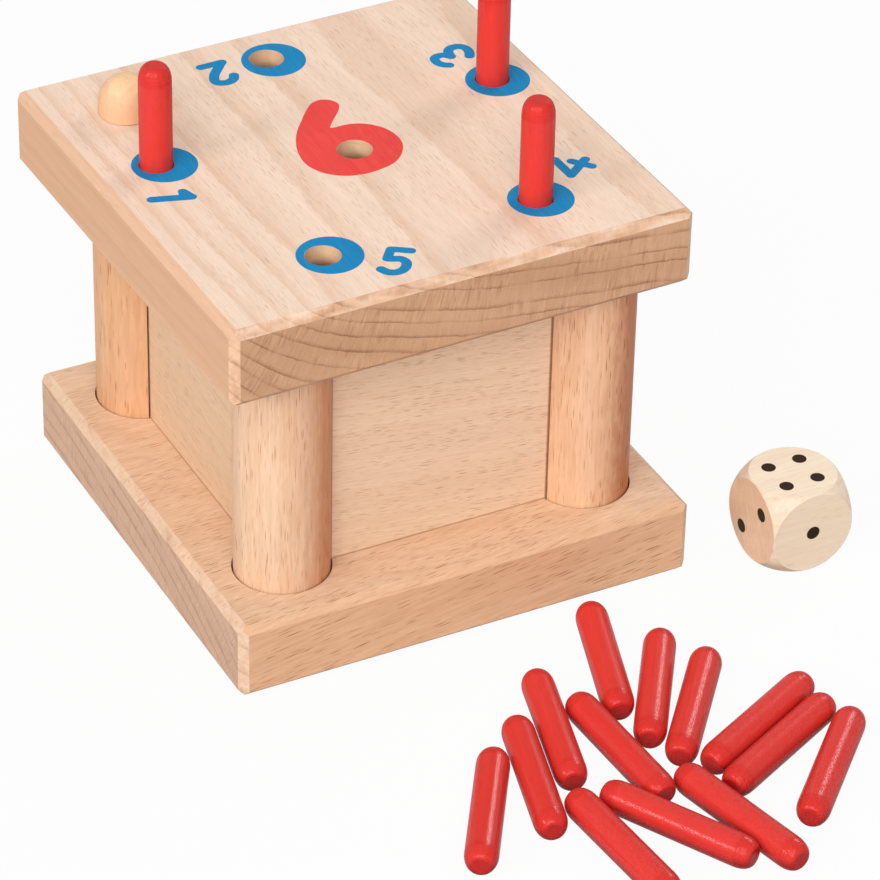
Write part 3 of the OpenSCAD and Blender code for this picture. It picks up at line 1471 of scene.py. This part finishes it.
@dataclass
class Die:
    """The wooden die with its painted pips.

    Attributes:
        nodes: The frame's nodes.
        side: The distance between two opposite faces.
        pip_radius: The radius of a pip.
        pip_step: The distance from a face's middle to its outer rows of pips.
        pip_corners: The number of a pip's corners.
        log_offset: How far the grain's origin lies from the die's middle, each way.
    """

    nodes: dict[str, bpy.types.Object]
    side: float = 22.0
    pip_radius: float = 1.78
    pip_step: float = 4.35
    pip_corners: int = 40
    log_offset: float = 14.0

    def build(self) -> None:
        """Dresses the die and adds its pips."""
        low, high = (Vector(corner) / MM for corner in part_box("die"))
        middle = (low + high) / 2
        dress("die", self._wood(middle).build(), self.nodes)
        brown = self._wood(middle, Tint(44, 24, 4)).build()
        for face in Face:
            self._print_face(face, middle, brown)

    def _wood(self, middle: Vector, ink: Tint | None = None) -> Timber:
        """Gives the die's wood, bare or under a pip's paint.

        Args:
            middle: The die's middle.
            ink: The paint's colour, or nothing.

        Returns:
            The finish.
        """
        corner = tuple(value - self.log_offset for value in middle)
        cut = Cut(corner, RIGHTWARD, BACKWARD, UPWARD, ring=3.4, fall=0.4)
        # The die's left face gets painted shade.
        return Timber(
            "pip_paint" if ink else "die_wood", cut, pale=Tint(250, 231, 207),
            deep=Tint(243, 218, 189), fleck=Tint(218, 182, 146), end_pale=Tint(245, 208, 174),
            end_line=Tint(222, 176, 138), bevel=Tint(250, 228, 202), flank=Tint(244, 239, 236),
            heart=Tint(239, 235, 233), heart_side=(-0.9, 0.0, 0.0), band=0.4, rings=0.12,
            blur=1.0, flecks=0.25, fleck_length=5.0, fleck_width=0.5, fibres=0.6,
            specular=0.06 if ink else 0.3, ink=ink, ink_cover=0.995)

    def _print_face(self, face: Face, middle: Vector, paint: bpy.types.Material) -> None:
        """Paints the pips of one face.

        Args:
            face: The face.
            middle: The die's middle.
            paint: The pips' finish.
        """
        out, right, spots = face.value
        out, right = Vector(out), Vector(right)
        up = out.cross(right)
        turn = Matrix((right, up, out)).transposed().to_4x4()
        place = Matrix.Scale(MM, 4) @ Matrix.Translation(middle + out * (self.side / 2)) @ turn
        middles = [(x * self.pip_step, y * self.pip_step) for x, y in spots]
        loops = [circle(spot, self.pip_radius, self.pip_corners) for spot in middles]
        film = Film(f"pips_{face.name.lower()}", loops)
        finish_piece(film.build(place), paint, "die")
        LOG.info("%s painted on the die", film.name)


# The studio

@dataclass(frozen=True)
class Lamp:
    """A square soft lamp: its place and side in metres, and its power in watts."""

    name: str
    place: Triple
    side: float
    power: float

    def hang(self, aim: Triple) -> None:
        """Hangs the lamp.

        Args:
            aim: The place that it points at, in metres.
        """
        data = bpy.data.lights.new(self.name, "AREA")
        data.shape = "SQUARE"
        data.size = self.side
        data.energy = self.power
        light = bpy.data.objects.new(self.name, data)
        light.location = self.place
        way = Vector(aim) - light.location
        light.rotation_euler = way.to_track_quat("-Z", "Y").to_euler()
        bpy.context.scene.collection.objects.link(light)


@dataclass
class Studio:
    """The camera, the pale floor and the soft lights.

    Attributes:
        focal_pixels: The focal length, in pixels of the photograph.
        image_pixels: The photograph's width.
        azimuth: The camera's direction round the box, in degrees from the front.
        elevation: Its height, in degrees above level.
        roll: Its roll, in degrees.
        target: The place at the picture's middle.
        distance: The distance from there to the camera.
        sensor: The width of the camera's sensor.
        world_light: The even light, as a share of white.
        floor_shadow: The part of the shadows that the floor keeps.
        floor_grey: The floor's own grey.
        floor_reach_m: The distance from its middle to each edge, in metres.
        floor_drop_m: How far it lies under the box, in metres.
        aim_m: The place that the lamps point at, in metres.
        lamps: The lamps.
    """

    focal_pixels: float = 4729.376
    image_pixels: float = 880.0
    azimuth: float = -27.732
    elevation: float = 34.839
    roll: float = 1.326
    target: Triple = (-5.42, -53.09, 54.094)
    distance: float = 1104.57
    sensor: float = 36.0
    world_light: float = 0.29
    floor_shadow: float = 0.045
    floor_grey: float = 0.7
    floor_reach_m: float = 6.0
    floor_drop_m: float = 0.0002
    aim_m: Triple = (0.0, 0.0, 0.06)
    lamps: tuple[Lamp, ...] = (
        Lamp("key_light", (-0.92, -1.34, 1.31), 1.7, 37.0),
        Lamp("left_light", (-1.46, -0.22, 0.86), 0.46, 6.2),
        Lamp("right_light", (1.235, 0.62, 0.935), 0.5, 6.4),
    )

    def build(self) -> None:
        """Sets up the view, the floor and the light."""
        bpy.context.scene.view_settings.view_transform = "Standard"
        self._set_camera()
        self._lay_floor()
        self._light_world()
        for lamp in self.lamps:
            lamp.hang(self.aim_m)
        LOG.info("studio ready")

    def _set_camera(self) -> None:
        """Places the camera at the photograph's viewing angle."""
        az, el, roll = (math.radians(v) for v in (self.azimuth, self.elevation, self.roll))
        back = Vector((math.sin(az) * math.cos(el), -math.cos(az) * math.cos(el), math.sin(el)))
        right = Vector((math.cos(az), math.sin(az), 0.0))
        up = back.cross(right)
        side = right * math.cos(roll) + up * math.sin(roll)
        head = up * math.cos(roll) - right * math.sin(roll)
        data = bpy.data.cameras.new("camera")
        data.sensor_width = self.sensor
        data.lens = self.focal_pixels * self.sensor / self.image_pixels
        camera = bpy.data.objects.new("camera", data)
        place = (Vector(self.target) + back * self.distance) * MM
        turn = Matrix((side, head, back)).transposed().to_4x4()
        camera.matrix_world = Matrix.Translation(place) @ turn
        bpy.context.scene.collection.objects.link(camera)
        bpy.context.scene.camera = camera

    def _seen(self, g: Graph) -> Wire:
        """Gives 1 on rays that come from the camera, a mirror or glass.

        Args:
            g: The node tree.

        Returns:
            The value, 0 or 1.
        """
        path = {name: g.node("ShaderNodeLightPath", output=name)
                for name in ("Is Camera Ray", "Is Glossy Ray", "Is Transmission Ray")}
        camera, glossy, through = path.values()
        return camera.math("MAXIMUM", glossy).math("MAXIMUM", through)

    def _lay_floor(self) -> None:
        """Lays a wide white floor that keeps part of the shadow."""
        mesh = bpy.data.meshes.new("floor")
        corners = [(x * self.floor_reach_m, y * self.floor_reach_m, -self.floor_drop_m)
                   for x, y in ((-1, -1), (1, -1), (1, 1), (-1, 1))]
        mesh.from_pydata(corners, [], [(0, 1, 2, 3)])
        floor = bpy.data.objects.new("floor", mesh)
        bpy.context.scene.collection.objects.link(floor)
        material = bpy.data.materials.new("floor_white")
        material.use_nodes = True
        g = Graph(material.node_tree)
        grey = (self.floor_grey, self.floor_grey, self.floor_grey, 1)
        matt = g.node("ShaderNodeBsdfDiffuse", None, {"Color": grey})
        glow = g.node("ShaderNodeEmission", None, {"Color": WHITE.rgba(), "Strength": 1.0})
        share = self._seen(g) * (1 - self.floor_shadow)
        mixed = g.node("ShaderNodeMixShader", None, {"0": share, "1": matt, "2": glow})
        g.node("ShaderNodeOutputMaterial", None, {"Surface": mixed})
        mesh.materials.append(material)

    def _light_world(self) -> None:
        """Lights the scene evenly, and shows white behind it."""
        world = bpy.data.worlds.new("studio")
        world.use_nodes = True
        bpy.context.scene.world = world
        g = Graph(world.node_tree)
        strength = self.world_light + self._seen(g) * (1 - self.world_light)
        sky = g.node("ShaderNodeBackground", None, {"Color": WHITE.rgba(), "Strength": strength})
        g.node("ShaderNodeOutputWorld", None, {"Surface": sky})


def main() -> None:
    """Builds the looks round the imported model."""
    logging.basicConfig(level=logging.INFO, format="%(name)s: %(message)s")
    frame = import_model()
    nodes = frame["nodes"]
    Studio().build()
    parts: list[Callable[[], None]] = [
        Box(nodes).build, Lid(nodes).build, Pegs(nodes).build, Die(nodes).build,
    ]
    for build in parts:
        build()


if __name__ == "__main__":
    main()
